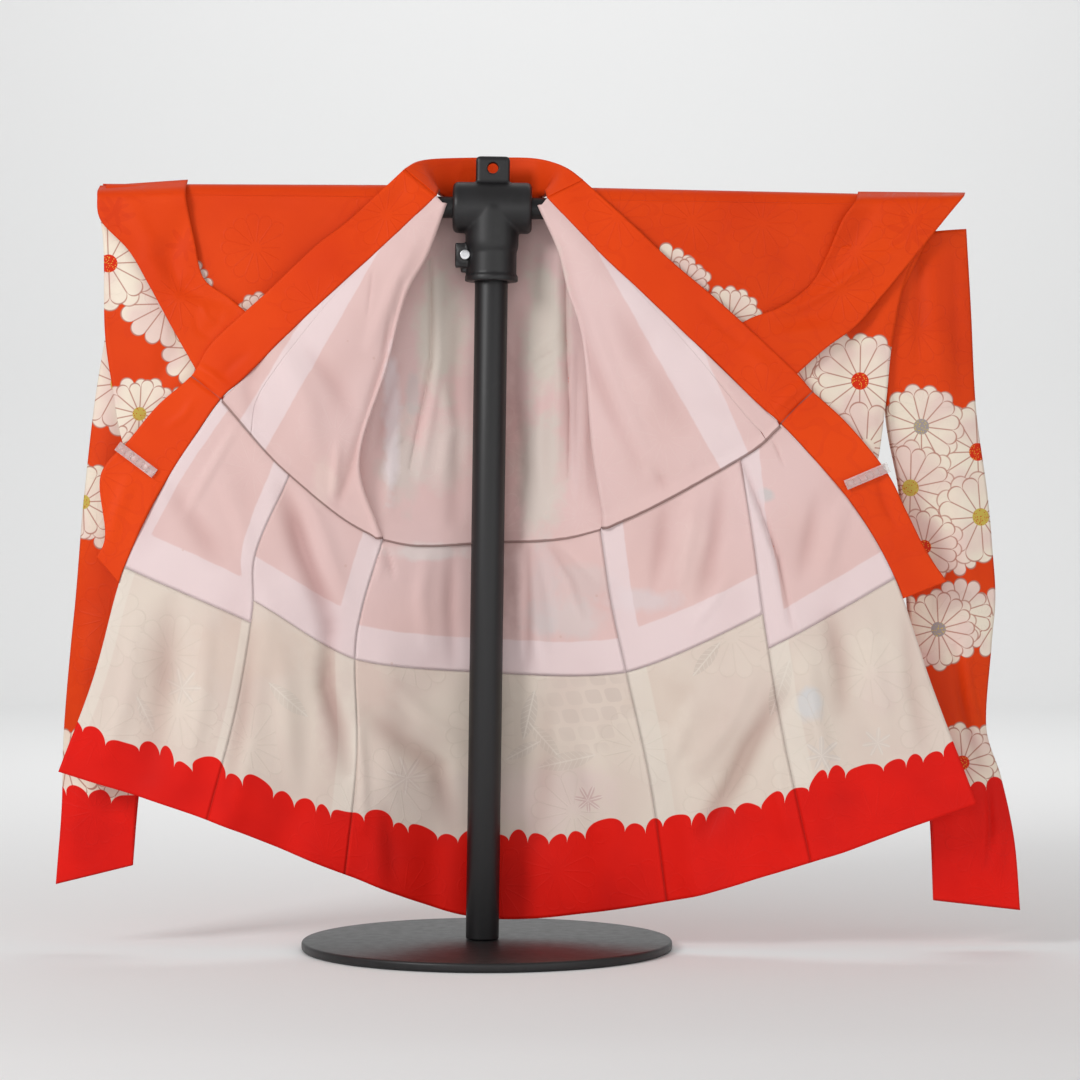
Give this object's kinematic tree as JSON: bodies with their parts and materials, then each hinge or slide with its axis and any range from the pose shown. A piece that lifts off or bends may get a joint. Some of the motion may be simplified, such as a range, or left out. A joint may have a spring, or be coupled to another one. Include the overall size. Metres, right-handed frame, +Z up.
{
  "type": "lined child kimono on a t-shaped display stand",
  "caption": "Lined child kimono hung open on a T-shaped stand: fronts turned back and clipped to the sleeves to show the lining, waist tuck and hem.",
  "frame": {"origin": "on the floor, at the middle of the underside of the stand's round base", "axes": "+Z up, +X to the right seen from the open front, +Y towards the back"},
  "size_m": [0.9638, 0.37, 0.7931],
  "materials": {
    "outer_silk": "satin",
    "collar_silk": "satin",
    "lining_silk": "satin",
    "hem_lining_silk": "satin",
    "stand_black": "satin",
    "steel": "satin",
    "clear_plastic": "gloss"
  },
  "bodies": {
    "root": {"overlap_left_lower": "outer_silk", "overlap_left_lining_lower": "lining_silk", "overlap_left_lining_hem": "hem_lining_silk", "front_left_lower": "outer_silk", "front_left_lining_lower": "lining_silk", "front_left_lining_hem": "hem_lining_silk", "back_left_lower": "outer_silk", "back_left_lining_lower": "lining_silk", "back_left_lining_hem": "hem_lining_silk", "back_right_lower": "outer_silk", "back_right_lining_lower": "lining_silk", "back_right_lining_hem": "hem_lining_silk", "front_right_lower": "outer_silk", "front_right_lining_lower": "lining_silk", "front_right_lining_hem": "hem_lining_silk", "overlap_right_lower": "outer_silk", "overlap_right_lining_lower": "lining_silk", "overlap_right_lining_hem": "hem_lining_silk", "waist_tuck_left": "outer_silk", "waist_tuck_back": "outer_silk", "waist_tuck_right": "outer_silk", "back_left_upper": "outer_silk", "back_left_lining_upper": "lining_silk", "back_right_upper": "outer_silk", "back_right_lining_upper": "lining_silk", "front_left_upper": "outer_silk", "front_left_lining_upper": "lining_silk", "overlap_left_upper": "outer_silk", "overlap_left_lining_upper": "lining_silk", "front_right_upper": "outer_silk", "front_right_lining_upper": "lining_silk", "overlap_right_upper": "outer_silk", "overlap_right_lining_upper": "lining_silk", "collar_left": "collar_silk", "collar_right": "collar_silk", "collar_neck": "collar_silk", "shoulder_left": "outer_silk", "shoulder_right": "outer_silk", "sleeve_left_yoke": "outer_silk", "sleeve_left_flap": "outer_silk", "sleeve_left_cuff": "outer_silk", "sleeve_left_back": "outer_silk", "sleeve_left_bag_front": "outer_silk", "sleeve_left_bag_back": "outer_silk", "sleeve_right_yoke": "outer_silk", "sleeve_right_flap": "outer_silk", "sleeve_right_cuff": "outer_silk", "sleeve_right_back": "outer_silk", "sleeve_right_bag_front": "outer_silk", "sleeve_right_bag_back": "outer_silk", "clip_left": "clear_plastic", "clip_right": "clear_plastic", "stand_pole": "stand_black", "stand_coupling": "stand_black", "stand_crossbar": "stand_black", "stand_clamp_bolt": "steel", "stand_base": "stand_black"}
  },
  "joints": []
}
